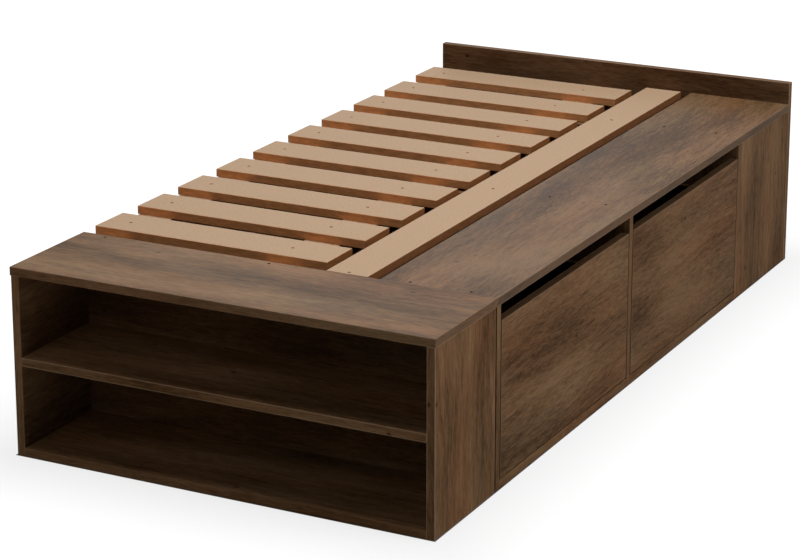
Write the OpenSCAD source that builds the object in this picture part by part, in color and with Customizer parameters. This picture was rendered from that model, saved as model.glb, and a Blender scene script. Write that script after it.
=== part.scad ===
// Single platform bed: an open bookcase across the foot, a chest of two drawers along the right-hand
// side, ten cross slats and one long slat for a deck, and a low headboard.
// The bed's length lies along Y with the foot at -Y, the drawers open towards +X, and Z is up.
// The origin is the middle of the footprint on the floor. Left and right are seen from the foot,
// but a drawer's own left and right are seen when facing its front.

/* [Bed] */
// Width of the bed, from the cross slats' left ends to the ledge
bed_w = 953; // [903:1:1103]
// Length of the bed, headboard included
bed_l = 1965; // [1900:1:2100]
// Height of the deck that the mattress lies on
deck_h = 402; // [380:1:480]
// Height of the headboard
head_h = 455.5; // [420:0.5:700]
// Thickness of the boards
board = 18; // [16:0.5:20]
// Chamfer along the banded edges of the boards
ease = 0.6; // [0.3:0.1:1.2]

/* [Foot bookcase] */
// Depth of the bookcase's top board
case_d = 266.5; // [220:0.5:340]
// How far a top board stands past the upright boards below it
lip = 1.5; // [0.5:0.5:6]
// How far the bookcase's top stands past its back
back_lip = 3.5; // [0.5:0.5:5]
// Height of the shelf's underside above the floor
shelf_z = 194; // [120:1:260]
// Gap between the bookcase and the drawer chest, filled by spacers
case_gap = 5.5; // [2:0.5:8]

/* [Drawer chest] */
// Length of the side panel between the last drawer and the headboard
end_w = 328.5; // [250:0.5:420]
// Gap between a closed drawer's back and the back of the chest
back_gap = 39; // [15:1:80]
// Width of the ledge board on top of the chest
ledge_w = 256; // [200:1:300]
// Width of the flat rail under each drawer
base_rail_w = 100; // [60:1:160]

/* [Slats] */
// Width of a cross slat
slat_w = 106; // [70:1:110]
// Gap between the bookcase top and the first cross slat
first_gap = 47; // [20:1:80]
// Gap between the last two cross slats
wide_gap = 68; // [50:1:90]
// Gap between the last cross slat and the headboard
last_gap = 44.5; // [20:0.5:80]
// Width of the long slat
long_slat_w = 93.5; // [70:0.5:100]
// Gap between the long slat and the ledge
long_slat_gap = 27; // [15:1:32]
// Gap between the cross slats' right ends and the long slat
slat_end_gap = 22; // [10:1:40]
// How far the cross slats stand past the left end of the bookcase's top
slat_out = 3; // [0:0.5:8]
// Gap between the ends of the long slat and its neighbours
long_slat_play = 1; // [0.5:0.5:4]
// Width of the flat rails that the cross slats are screwed to
rail_w = 64; // [46:1:80]

/* [Drawers] */
// Gap around a drawer front, at its sides and bottom
reveal = 4; // [1:0.5:5]
// Finger gap above a drawer front
finger_gap = 35; // [25:1:45]
// Thickness of a drawer's side and back boards
side_t = 15; // [14:0.5:18]
// Height of a drawer's side boards
side_h = 240; // [120:1:260]
// Length of a drawer's side boards and of its runners
side_l = 400; // [380:1:420]
// Height of a drawer's side boards above the flat rail
side_lift = 16; // [14:1:20]
// Thickness of a drawer's bottom panel
bottom_t = 5; // [3:0.5:6]
// Depth of the groove that holds the bottom panel
groove_d = 8; // [5:0.5:9]
// Height of the bottom panel above the lower edge of the sides
bottom_lift = 12; // [10:1:20]
// Play of the bottom panel in its grooves
groove_play = 0.3; // [0.1:0.1:0.5]

/* [Drawer runners] */
// Width left for a runner between the drawer and the chest
runner_gap = 12.5; // [12.5:0.1:14]
// Thickness of the runner's steel sheet
sheet = 1.2; // [1:0.1:1.3]
// Gap between the fixed runner member and the back of a drawer front
runner_set = 3; // [2:0.5:6]
// Radius of a roller
roller_r = 12; // [10:0.5:13]
// Width of a roller
roller_w = 5.4; // [5:0.1:5.6]
// Radius of a roller's axle
axle_r = 2.5; // [2:0.1:3]
// Radial play of a roller on its axle
axle_play = 0.08; // [0.05:0.01:0.1]
// Running clearance between a roller and what it rolls on
roll_gap = 0.3; // [0.2:0.05:0.4]
// How much of a runner's two members still overlap when the drawer is out
overlap = 110; // [105:1:200]
// Height of the track above the lower edge of the drawer's sides
track_lift = 5.2; // [5:0.1:7]
// Height of the stop that ends a drawer's travel
stop_h = 6; // [4:0.5:8]
// Width of the runner's flange under the drawer's side
foot_flange = 14; // [10:0.5:14]

/* [Fittings] */
// Radius of a wood screw's shank
screw_r = 2; // [1.75:0.25:2.5]
// Radius of a wood screw's head
screw_head_r = 3.5; // [3.25:0.25:5]
// Depth of a deck screw's head below the deck
head_sink = 1.2; // [0.5:0.1:2]
// Length of a deck screw
deck_screw_l = 30; // [26:1:31]
// Distance of the ledge screws from the ledge's long edges
ledge_screw_inset = 62; // [40:1:80]
// Radius of a cam lock
cam_r = 7.5; // [6:0.5:8]
// Depth of a cam lock's bore
cam_depth = 12.5; // [11:0.5:13]
// Distance of a cam lock's centre from the joint that it closes
cam_set = 24; // [20:1:34]
// Radius of a cam lock's bolt
bolt_r = 3; // [2.5:0.25:3.25]
// Depth to which a cam lock's bolt enters the board that it holds
bolt_in = 7; // [5:0.5:7.5]
// Radius of a wooden dowel
dowel_r = 4; // [3:0.5:5]
// Length of a wooden dowel
dowel_l = 30; // [24:1:36]
// Radius of a spacer between the bookcase and the chest
spacer_r = 10; // [8:0.5:14]
// Leg length of a steel angle bracket
bracket_l = 40; // [30:1:60]
// Thickness of a steel angle bracket
bracket_t = 2; // [1.5:0.5:3]

/* [Hidden] */

// Colours of the finished pieces
oak = "#5a4334";
raw = "#c3a27c";
steel = "#b9bbbc";
white_steel = "#d9d9d6";
nylon = "#e8e6e0";

// Lines of the bed along X
x_left = -bed_w / 2;
x_right = bed_w / 2;
x_face = x_right - lip;
x_inner_face = x_face - board;
x_case_left = x_left + slat_out;
x_left_face = x_case_left + lip;
x_left_inner = x_left_face + board;
x_drawer_back = x_inner_face - side_l;
x_chest_back = x_drawer_back - back_gap;
x_panel = x_chest_back - board;
x_ledge = x_right - ledge_w;
x_long_slat = x_ledge - long_slat_gap - long_slat_w;
slat_l = x_long_slat - slat_end_gap - x_left;

// Lines of the bed along Y
y_foot = -bed_l / 2;
y_case_front = y_foot + lip;
y_case_back = y_foot + case_d;
y_case_outer = y_case_back - back_lip;
y_case_inner = y_case_outer - board;
y_chest = y_case_outer + case_gap;
y_head = bed_l / 2 - board;

// Lines of the bed along Z
z_under = deck_h - board;
z_front = board + reveal;
z_front_top = z_under - finger_gap;
z_side = board + side_lift;
z_side_top = z_side + side_h;
z_bottom = z_side + bottom_lift;
z_groove_top = z_bottom + bottom_t + groove_play;
z_track = z_side + track_lift;
z_rail = z_under - board;
bracket_drop = 75;
z_bracket = z_rail - bracket_drop - bracket_l;

// Partitions and bays of the chest, counted from the foot
bay_w = (y_head - y_chest - end_w - 3 * board) / 2;
function y_partition(i) = y_chest + i * (bay_w + board);
function y_bay(i) = y_partition(i) + board;

// Cross slats, counted from the foot
slats = 10;
y_first_slat = y_case_back + first_gap;
y_last_slat = y_head - last_gap - slat_w;
slat_pitch = (y_last_slat - wide_gap - slat_w - y_first_slat) / (slats - 2);
function y_slat(i) = i < slats - 1 ? y_first_slat + i * slat_pitch : y_last_slat;

// Parts of a runner across its gap, measured from the wall of the bay
roller_y = 3.8;
side_play = 0.2;
lip_gap = 0.3;
lip_y = roller_y + roller_w + lip_gap;
track_w = lip_y + sheet;
flange_y = 2.2;
web_y = runner_gap - sheet;
y_side_in = runner_gap + side_t;

// Parts of a runner along X and Z
axle_head = 0.6;
axle_head_r = axle_r + 1.5;
boss_r = axle_r + 2;
guide_h = 2;
back_stop_h = 14;
cap_gap = 0.6;
roller_set = 2;
cap_extra = 12;
travel = side_l - overlap;
x_runner = x_drawer_back - runner_set;
x_rear_roller = x_runner + sheet + roll_gap + roller_r;
x_front_roller = x_runner + side_l - roller_r - roller_set;
z_axle = z_track + roll_gap + roller_r;
z_flange = z_axle + roller_r + roll_gap;
z_cap = z_flange + sheet + cap_gap;
cap_l = x_rear_roller + travel + roller_r + cap_extra - x_runner;
stop_reach = sqrt(pow(roller_r, 2) - pow(roller_r + roll_gap - stop_h, 2)) + roll_gap;
x_stop = x_rear_roller + travel + stop_reach;

// Fits of the fittings
shank_play = 0.3;
pilot_play = 0.1;
pilot_extra = 2;
head_play = 0.05;
cam_play = 0.1;
cam_short = 0.5;
cam_skin = 3;
dowel_play = 0.1;
dowel_top = 12;
edge_set = 60;
screw_set = 37;
drawer_cam_set = 25;
low_set = 90;
top_set = 75;
back_dowel_x = 122;
cut = 1;
screw_point = 3;
head_rim = 1;
pilot_end = 0.2;
bracket_tip = 14;
case_screw_shift = 9;

// Screws that must not come out on the far side, and how much wood is left before their points
point_left = 4;
support_screw_l = 2 * board - point_left;
joining_l = 2 * board + case_gap - point_left;
pan_head = 1;
pan_screw_l = board / 2 - pan_head + sheet;
back_screw_in = 25;
back_screw_l = side_t + back_screw_in;
slide_screw_r = screw_r * 0.75;
slide_screw_l = 9;

// ---------------------------------------------------------------- places of the fittings

x_left_screw = x_left_inner + rail_w / 2;
x_centre_screw = x_panel - rail_w / 2;
x_long_screw = x_long_slat + long_slat_w / 2;
ledge_screws_x = [x_ledge + ledge_screw_inset, x_right - ledge_screw_inset];
case_screws_x = [x_left_screw + case_screw_shift, x_centre_screw + case_screw_shift];
partition_ys = [for (i = [0:2]) y_partition(i) + board / 2];
slat_ys = [for (i = [0:slats - 1]) y_slat(i) + slat_w / 2];

// Deck screws: each cross slat is held by the left and the centre rail
left_screws = [for (y = slat_ys) [x_left_screw, y, deck_h]];
centre_screws = [for (y = slat_ys) [x_centre_screw, y, deck_h]];
long_screws = [for (y = partition_ys) [x_long_screw, y, deck_h]];
ledge_screws = [for (y = partition_ys, x = ledge_screws_x) [x, y, deck_h]];
case_screws = [for (x = case_screws_x) [x, y_case_inner + board / 2, deck_h]];

// Support screws: where the head lies and which way it faces
support_zs = [low_set, z_bracket - edge_set];
partition_screws = [for (y = partition_ys, z = support_zs) [[x_panel, y, z], [-1, 0, 0]]];
rail_bracket_ys = [for (i = [1, 4, 7]) slat_ys[i] + slat_pitch / 2];

// Screws that join the chest to the bookcase, as x and z
joint_xs = [x_chest_back + edge_set, x_inner_face - edge_set];
joint_zs = [low_set, z_under - top_set];
joints_at = [for (x = joint_xs, z = joint_zs) [x, z]];

// Cam locks: the middle of the bore's mouth, the way it faces, and the way its bolt points
function x_cam(s) = s < 0 ? x_left_inner + cam_set : x_inner_face - cam_set;
case_ys = [y_case_front + edge_set, y_case_inner - edge_set];
cam_zs = [top_set, z_under - top_set];
shelf_cams = [
    for (s = [-1, 1], y = case_ys) [[x_cam(s), y, shelf_z], [0, 0, -1], [s, 0, 0]]
];
bottom_cams = [
    for (s = [-1, 1], y = case_ys) [[x_cam(s), y, 0], [0, 0, -1], [s, 0, 0]]
];
back_cams = [
    for (s = [-1, 1], z = cam_zs) [[x_cam(s), y_case_outer, z], [0, 1, 0], [s, 0, 0]]
];
base_cams = [
    for (i = [0, 1], s = [-1, 1], x = x_face - base_rail_w / 2)
        [[x, s < 0 ? y_bay(i) + cam_set : y_partition(i + 1) - cam_set, 0], [0, 0, -1], [0, s, 0]]
];
end_cams = [
    for (s = [-1, 1], z = cam_zs)
        [[x_inner_face, s < 0 ? y_bay(2) + cam_set : y_head - cam_set, z], [-1, 0, 0], [0, s, 0]]
];
fixed_cams = concat(shelf_cams, bottom_cams, back_cams, base_cams, end_cams);

// Cam locks at the front corners of a drawer, on its right-hand (+1) or left-hand (-1) side
function drawer_cams(i, side) = [
    for (z = [z_groove_top + drawer_cam_set, z_side_top - drawer_cam_set])
        [
            [x_inner_face - cam_set, side < 0 ? y_bay(i) + y_side_in : y_bay(i + 1) - board - y_side_in, z],
            [0, -side, 0],
            [1, 0, 0]
        ]
];

// Dowels between the bookcase's top and its sides and back
dowels_at = concat(
    [for (x = [x_left_face, x_inner_face], y = case_ys) [x + board / 2, y, z_under]],
    [for (x = [back_dowel_x, x_inner_face - edge_set]) [x, y_case_inner + board / 2, z_under]]
);

// Screws of the runners
fixed_screws_x = [x_runner + screw_set, x_runner + side_l / 2, x_front_roller - screw_set];
slide_screws_x = [x_drawer_back + edge_set, x_drawer_back + side_l / 2, x_inner_face - edge_set];
back_screw_zs = [z_groove_top + screw_set, z_side_top - screw_set];

// ---------------------------------------------------------------- boards

// Rectangle with chamfered corners
module eased_rect(a, b) {
    polygon([
        [ease, 0], [a - ease, 0], [a, ease], [a, b - ease],
        [a - ease, b], [ease, b], [0, b - ease], [0, ease]
    ]);
}

// Board with every edge chamfered, between two opposite corners
module board_between(low, high) {
    size = high - low;
    translate(low) intersection() {
        linear_extrude(size.z) eased_rect(size.x, size.y);
        translate([0, size.y, 0]) rotate([90, 0, 0]) linear_extrude(size.y) eased_rect(size.x, size.z);
        rotate([90, 0, 90]) linear_extrude(size.x) eased_rect(size.y, size.z);
    }
}

// Box with sharp edges, between two opposite corners
module box_between(low, high) {
    translate(low) cube(high - low);
}

// ---------------------------------------------------------------- fittings

function turn_to(dir) =
    dir.z < 0 ? [180, 0, 0]
    : dir.y > 0 ? [-90, 0, 0]
    : dir.y < 0 ? [90, 0, 0]
    : dir.x < 0 ? [0, -90, 0]
    : dir.x > 0 ? [0, 90, 0]
    : [0, 0, 0];

// Put what is drawn along z at a place and turn it to the way that the place faces
module facing(place) {
    translate(place[0]) rotate(turn_to(place[1])) children();
}

// Cross-shaped drive recess, its mouth at z = 0
module drive(reach, depth) {
    for (turn = [0, 90]) {
        rotate(turn) translate([-reach, -reach / 4, -depth]) cube([2 * reach, reach / 2, depth + cut]);
    }
}

// Countersunk wood screw whose head lies level with z = 0 and whose point looks down
module wood_screw(length) {
    cone = screw_head_r - screw_r;
    difference() {
        union() {
            translate([0, 0, -head_rim]) cylinder(r = screw_head_r, h = head_rim, $fn = 40);
            translate([0, 0, -head_rim - cone])
                cylinder(r1 = screw_r, r2 = screw_head_r, h = cone, $fn = 40);
            translate([0, 0, screw_point - length])
                cylinder(r = screw_r, h = length - screw_point - head_rim - cone, $fn = 40);
            translate([0, 0, -length]) cylinder(r1 = screw_r / 5, r2 = screw_r, h = screw_point, $fn = 40);
        }
        drive(screw_head_r / 2, 0.8);
    }
}

// Countersunk hole through a board whose surface is at z = 0, for a wood screw whose head lies sunk
module screw_hole(sink) {
    cone = screw_head_r - screw_r;
    z_rim = -head_rim - head_play - sink;
    translate([0, 0, z_rim - cone])
        cylinder(r1 = screw_r + head_play, r2 = screw_head_r + head_play, h = cone, $fn = 40);
    translate([0, 0, z_rim]) cylinder(r = screw_head_r + head_play, h = cut - z_rim, $fn = 40);
    translate([0, 0, -board - cut]) cylinder(r = screw_r + shank_play, h = board - sink, $fn = 40);
}

// Pilot hole in the board behind one whose surface is at z = 0
module pilot_hole(length) {
    translate([0, 0, -length - pilot_extra])
        cylinder(r = screw_r + pilot_play, h = length + pilot_extra - board + cut, $fn = 40);
}

// Pan-head wood screw, its head standing on z = 0 and its shank looking down
module pan_screw(length) {
    difference() {
        union() {
            cylinder(r = screw_head_r, h = pan_head, $fn = 40);
            translate([0, 0, -length]) cylinder(r = screw_r, h = length, $fn = 40);
        }
        translate([0, 0, pan_head]) drive(screw_head_r / 2, pan_head / 2);
    }
}

// Pilot hole of a pan-head screw, its mouth at z = 0
module pan_pilot(depth) {
    translate([0, 0, -depth]) cylinder(r = screw_r + pilot_play, h = depth + cut, $fn = 40);
}

// Blind bore of a cam lock, its mouth at z = 0
module cam_bore(depth) {
    translate([0, 0, -depth]) cylinder(r = cam_r, h = depth + cut, $fn = 48);
}

// Put what is drawn along z on the axis of a cam lock's bolt, with z = 0 at the middle of the lock
module on_bolt(place, thickness) {
    translate(place[0] - place[1] * thickness / 2) rotate(turn_to(place[2])) children();
}

// Bore that a bolt takes through its cam lock and its own board
module bolt_way(place, thickness) {
    on_bolt(place, thickness) translate([0, 0, -2.5])
        cylinder(r = bolt_r + shank_play, h = cam_set + 2.5 + cut, $fn = 40);
}

// Blind bore that a bolt enters in the board that it holds
module bolt_seat(place, thickness) {
    on_bolt(place, thickness) translate([0, 0, cam_set - cut])
        cylinder(r = bolt_r + pilot_play, h = bolt_in + 0.5 + cut, $fn = 40);
}

// Cam lock seated on the bottom of its bore, with its drive and the bolt's way through it
module cam_lock(place, thickness, depth) {
    difference() {
        facing(place) difference() {
            translate([0, 0, -depth]) cylinder(r = cam_r - cam_play, h = depth - cam_short, $fn = 48);
            translate([0, 0, -cam_short]) drive(cam_r * 0.6, 1.2);
        }
        bolt_way(place, thickness);
    }
}

// Bolt with a round head inside the lock, a neck and a shank
module cam_bolt(place, thickness) {
    on_bolt(place, thickness) {
        translate([0, 0, -1.5]) cylinder(r = bolt_r, h = 3, $fn = 40);
        cylinder(r = bolt_r * 0.6, h = cam_r, $fn = 40);
        translate([0, 0, cam_r - cut]) cylinder(r = bolt_r, h = cam_set + bolt_in - cam_r + cut, $fn = 40);
    }
}

// Blind bore with a cam lock's bolt way, cut into the board that holds the lock
module lock_bores(places) {
    for (place = places) {
        facing(place) cam_bore(cam_depth);
        bolt_way(place, board);
    }
}

module cam_locks() {
    color(steel) for (place = fixed_cams) cam_lock(place, board, cam_depth);
}

module cam_bolts() {
    color(steel) for (place = fixed_cams) cam_bolt(place, board);
}

module fixed_seats() {
    for (place = fixed_cams) bolt_seat(place, board);
}

module dowels() {
    color(raw) for (at = dowels_at) {
        translate(at + [0, 0, dowel_top - dowel_l]) {
            cylinder(r1 = dowel_r - 1, r2 = dowel_r, h = 1, $fn = 40);
            translate([0, 0, 1]) cylinder(r = dowel_r, h = dowel_l - 2, $fn = 40);
            translate([0, 0, dowel_l - 1]) cylinder(r1 = dowel_r, r2 = dowel_r - 1, h = 1, $fn = 40);
        }
    }
}

module dowel_bores() {
    for (at = dowels_at) {
        translate(at + [0, 0, dowel_top - dowel_l - dowel_play])
            cylinder(r = dowel_r + dowel_play, h = dowel_l + 2 * dowel_play, $fn = 40);
    }
}

// Steel angle in the corner between a side at x = 0 and an end at y = 0
bracket_hole = bracket_l - bracket_tip;
module angle_bracket() {
    difference() {
        union() {
            cube([bracket_t, bracket_l, bracket_l]);
            cube([bracket_l, bracket_t, bracket_l]);
        }
        translate([-cut, bracket_hole, bracket_l / 2]) rotate([0, 90, 0])
            cylinder(r = screw_r + shank_play, h = bracket_t + 2 * cut, $fn = 40);
        translate([bracket_hole, -cut, bracket_l / 2]) rotate([-90, 0, 0])
            cylinder(r = screw_r + shank_play, h = bracket_t + 2 * cut, $fn = 40);
    }
}

// Put children where the two upright panels meet the end boards and the undersides of their rails
module at_brackets() {
    for (s = [0, 1]) translate([s == 0 ? x_left_inner : x_panel, 0, 0]) mirror([s, 0, 0]) {
        for (e = [0, 1]) {
            translate([0, e == 0 ? y_case_outer : y_head, z_bracket]) mirror([0, e, 0]) children();
        }
        for (y = rail_bracket_ys) translate([0, y - bracket_l / 2, z_rail]) rotate([-90, 0, 0]) children();
    }
}

// Put children on the two screw holes of an angle bracket, z = 0 at a height above its corner's sides
module on_bracket(height) {
    translate([height, bracket_hole, bracket_l / 2]) rotate([0, 90, 0]) children();
    translate([bracket_hole, height, bracket_l / 2]) rotate([-90, 0, 0]) children();
}

module rail_brackets() {
    color(steel) at_brackets() angle_bracket();
}

module bracket_pilots() {
    at_brackets() on_bracket(0) pan_pilot(pan_screw_l - bracket_t + pilot_end);
}

// ---------------------------------------------------------------- screws

module deck_screws() {
    places = concat(left_screws, centre_screws, long_screws, ledge_screws, case_screws);
    color(steel) for (at = places) translate(at - [0, 0, head_sink]) wood_screw(deck_screw_l);
}

module support_screws() {
    color(steel) for (place = partition_screws) facing(place) wood_screw(support_screw_l);
}

// Pilot holes of deck screws in the boards below those that they hold
module deck_pilots(places) {
    for (at = places) translate(at) pilot_hole(deck_screw_l + head_sink);
}

module pan_screws() {
    color(steel) {
        for (i = [0, 1], side = [-1, 1], x = fixed_screws_x) {
            at_wall(i, side) translate([x, sheet, z_axle]) rotate([-90, 0, 0]) pan_screw(pan_screw_l);
        }
        at_brackets() on_bracket(bracket_t) pan_screw(pan_screw_l);
    }
}

// Long screws from the first bay into the bookcase's back, each through a spacer ring
module joining_screws() {
    color(steel) for (at = joints_at) {
        translate([at.x, y_chest + board, at.y]) rotate([-90, 0, 0]) pan_screw(joining_l);
        translate([at.x, y_case_outer, at.y]) rotate([-90, 0, 0]) difference() {
            cylinder(r = spacer_r, h = case_gap, $fn = 48);
            translate([0, 0, -cut]) cylinder(r = screw_r + shank_play, h = case_gap + 2 * cut, $fn = 40);
        }
    }
}

// ---------------------------------------------------------------- foot bookcase

module foot_top() {
    color(oak) difference() {
        board_between([x_case_left, y_foot, z_under], [x_right, y_case_back, deck_h]);
        for (at = case_screws) translate(at) screw_hole(head_sink);
        dowel_bores();
    }
}

module foot_side(side) {
    x_low = side < 0 ? x_left_face : x_inner_face;
    color(oak) difference() {
        board_between([x_low, y_case_front, 0], [x_low + board, y_case_outer, z_under]);
        dowel_bores();
        fixed_seats();
    }
}

module foot_shelf() {
    color(oak) difference() {
        board_between([x_left_inner, y_case_front, shelf_z], [x_inner_face, y_case_inner, shelf_z + board]);
        lock_bores(shelf_cams);
    }
}

module foot_bottom() {
    color(oak) difference() {
        board_between([x_left_inner, y_case_front, 0], [x_inner_face, y_case_inner, board]);
        lock_bores(bottom_cams);
    }
}

module foot_back() {
    color(oak) difference() {
        board_between([x_left_inner, y_case_inner, 0], [x_inner_face, y_case_outer, z_under]);
        lock_bores(back_cams);
        deck_pilots(case_screws);
        for (at = joints_at) {
            translate([at.x, y_case_outer, at.y]) rotate([-90, 0, 0]) pan_pilot(board - 3);
        }
        dowel_bores();
        bracket_pilots();
    }
}

// ---------------------------------------------------------------- headboard and slat supports

module headboard() {
    color(oak) difference() {
        board_between([x_case_left, y_head, 0], [x_right, y_head + board, head_h]);
        fixed_seats();
        bracket_pilots();
    }
}

module left_side_panel() {
    color(oak) difference() {
        board_between([x_left_face, y_case_outer, 0], [x_left_inner, y_head, z_under]);
        bracket_pilots();
    }
}

// Two flat rails, one along the left side panel and one along the centre panel
module slat_rails() {
    color(raw) for (x = [x_left_inner, x_panel - rail_w]) difference() {
        board_between([x, y_case_outer, z_rail], [x + rail_w, y_head, z_under]);
        deck_pilots(concat(left_screws, centre_screws));
        bracket_pilots();
    }
}

module centre_panel() {
    color(oak) difference() {
        board_between([x_panel, y_case_outer, 0], [x_chest_back, y_head, z_under]);
        for (place = partition_screws) facing(place) screw_hole(0);
        bracket_pilots();
    }
}

// ---------------------------------------------------------------- drawer chest

module partition(i) {
    color(oak) difference() {
        board_between([x_chest_back, y_partition(i), 0], [x_face, y_bay(i), z_under]);
        deck_pilots([for (x = concat(x_long_screw, ledge_screws_x)) [x, partition_ys[i], deck_h]]);
        for (place = partition_screws) facing(place) pilot_hole(support_screw_l);
        fixed_seats();
        if (i < 2) runner_pilots(i, -1);
        if (i > 0) runner_pilots(i - 1, 1);
        if (i == 0) {
            for (at = joints_at) {
                translate([at.x, y_chest - cut, at.y]) rotate([-90, 0, 0])
                    cylinder(r = screw_r + shank_play, h = board + 2 * cut, $fn = 40);
            }
        }
    }
}

module base_rail(i) {
    color(oak) difference() {
        board_between([x_face - base_rail_w, y_bay(i), 0], [x_face, y_partition(i + 1), board]);
        lock_bores([base_cams[2 * i], base_cams[2 * i + 1]]);
    }
}

module head_side_panel() {
    color(oak) difference() {
        board_between([x_inner_face, y_bay(2), 0], [x_face, y_head, z_under]);
        lock_bores(end_cams);
    }
}

module ledge() {
    color(oak) difference() {
        board_between([x_ledge, y_case_back, z_under], [x_right, y_head, deck_h]);
        for (at = ledge_screws) translate(at) screw_hole(head_sink);
    }
}

// ---------------------------------------------------------------- deck

module cross_slat(i) {
    color(raw) difference() {
        board_between([x_left, y_slat(i), z_under], [x_left + slat_l, y_slat(i) + slat_w, deck_h]);
        translate(left_screws[i]) screw_hole(head_sink);
        translate(centre_screws[i]) screw_hole(head_sink);
    }
}

module long_slat() {
    color(raw) difference() {
        board_between(
            [x_long_slat, y_case_back + long_slat_play, z_under],
            [x_long_slat + long_slat_w, y_head - long_slat_play, deck_h]
        );
        for (at = long_screws) translate(at) screw_hole(head_sink);
    }
}

// ---------------------------------------------------------------- runners

// Draw at one wall of a bay, with y = 0 on the wall and y growing into the bay
module at_wall(i, side) {
    translate([0, side < 0 ? y_bay(i) : y_partition(i + 1), 0])
        mirror([0, side < 0 ? 0 : 1, 0]) children();
}

module runner_pilots(i, side) {
    for (x = fixed_screws_x) {
        at_wall(i, side) translate([x, 0, z_axle]) rotate([-90, 0, 0])
            pan_pilot(pan_screw_l - sheet + pilot_end);
    }
}

// Fixed member: a channel with a track below, a hold-down flange above, two stops and an axle
module fixed_runner(i, side) {
    x_end = x_runner + side_l;
    z_low = z_track - sheet;
    color(white_steel) at_wall(i, side) difference() {
        union() {
            box_between([x_runner, 0, z_low], [x_end, sheet, z_cap + sheet]);
            box_between([x_runner, 0, z_low], [x_end, track_w, z_track]);
            box_between([x_runner, lip_y, z_low], [x_end, track_w, z_track + guide_h]);
            box_between([x_runner, 0, z_cap], [x_runner + cap_l, roller_y + roller_w, z_cap + sheet]);
            box_between([x_runner, 0, z_low], [x_runner + sheet, track_w, z_track + back_stop_h]);
            box_between([x_stop, 0, z_low], [x_stop + sheet, track_w, z_track + stop_h]);
            translate([x_front_roller, 0, z_axle]) rotate([-90, 0, 0]) {
                cylinder(r = boss_r, h = roller_y - side_play, $fn = 40);
                cylinder(r = axle_r, h = roller_y + roller_w + side_play + axle_head, $fn = 40);
                translate([0, 0, roller_y + roller_w + side_play])
                    cylinder(r = axle_head_r, h = axle_head, $fn = 40);
            }
        }
        for (x = fixed_screws_x) {
            translate([x, -cut, z_axle]) rotate([-90, 0, 0])
                cylinder(r = screw_r + shank_play, h = sheet + 2 * cut, $fn = 40);
        }
    }
}

// Moving member: a flange over the fixed roller, a web, a foot under the drawer's side and an axle
module slide(i, side) {
    axle_l = web_y - roller_y + side_play;
    z_low = z_side - sheet;
    color(white_steel) at_wall(i, side) difference() {
        union() {
            box_between([x_drawer_back, web_y, z_low], [x_inner_face, runner_gap, z_flange + sheet]);
            box_between([x_drawer_back, flange_y, z_flange], [x_inner_face, runner_gap, z_flange + sheet]);
            box_between([x_drawer_back, web_y, z_low], [x_inner_face, runner_gap + foot_flange, z_side]);
            translate([x_rear_roller, web_y, z_axle]) rotate([90, 0, 0]) {
                cylinder(r = boss_r, h = axle_l - roller_w - 2 * side_play, $fn = 40);
                cylinder(r = axle_r, h = axle_l + axle_head, $fn = 40);
                translate([0, 0, axle_l]) cylinder(r = axle_head_r, h = axle_head, $fn = 40);
            }
        }
        for (x = slide_screws_x) {
            translate([x, runner_gap + foot_flange / 2, z_low - cut])
                cylinder(r = slide_screw_r + shank_play, h = sheet + 2 * cut, $fn = 40);
        }
    }
}

// Pair of rollers of one drawer, either on the fixed or on the moving members
module rollers(i, x) {
    color(nylon) for (side = [-1, 1]) {
        at_wall(i, side) translate([x, roller_y, z_axle]) rotate([-90, 0, 0]) difference() {
            cylinder(r = roller_r, h = roller_w, $fn = 64);
            translate([0, 0, -cut]) cylinder(r = axle_r + axle_play, h = roller_w + 2 * cut, $fn = 40);
        }
    }
}

// ---------------------------------------------------------------- drawers

module drawer_front(i) {
    color(oak) difference() {
        board_between(
            [x_inner_face, y_bay(i) + reveal, z_front],
            [x_face, y_partition(i + 1) - reveal, z_front_top]
        );
        box_between(
            [x_inner_face - cut, y_bay(i) + y_side_in - groove_d, z_bottom],
            [x_inner_face + groove_d, y_partition(i + 1) - y_side_in + groove_d, z_groove_top]
        );
        for (side = [-1, 1], place = drawer_cams(i, side)) bolt_seat(place, side_t);
    }
}

module drawer_side(i, side) {
    color(oak) difference() {
        at_wall(i, side) difference() {
            board_between([x_drawer_back, runner_gap, z_side], [x_inner_face, y_side_in, z_side_top]);
            box_between(
                [x_drawer_back - cut, y_side_in - groove_d, z_bottom],
                [x_inner_face + cut, y_side_in + cut, z_groove_top]
            );
            for (z = back_screw_zs) {
                translate([x_drawer_back + side_t / 2, runner_gap - cut, z]) rotate([-90, 0, 0])
                    cylinder(r = screw_r + shank_play, h = side_t + 2 * cut, $fn = 40);
            }
            for (x = slide_screws_x) {
                translate([x, runner_gap + foot_flange / 2, z_side - cut])
                    cylinder(r = slide_screw_r + pilot_play, h = slide_screw_l + cut, $fn = 40);
            }
        }
        for (place = drawer_cams(i, side)) {
            facing(place) cam_bore(side_t - cam_skin);
            bolt_way(place, side_t);
        }
    }
}

module drawer_back(i) {
    color(oak) difference() {
        board_between(
            [x_drawer_back, y_bay(i) + y_side_in, z_groove_top],
            [x_drawer_back + side_t, y_partition(i + 1) - y_side_in, z_side_top]
        );
        for (side = [-1, 1], z = back_screw_zs) at_wall(i, side) {
            translate([x_drawer_back + side_t / 2, y_side_in - cut, z]) rotate([-90, 0, 0])
                cylinder(r = screw_r + pilot_play, h = back_screw_in + 1 + cut, $fn = 40);
        }
    }
}

module drawer_bottom(i) {
    y_in = y_side_in - groove_d + groove_play;
    color(raw) box_between(
        [x_drawer_back, y_bay(i) + y_in, z_bottom],
        [x_inner_face + groove_d - groove_play, y_partition(i + 1) - y_in, z_bottom + bottom_t]
    );
}

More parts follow.
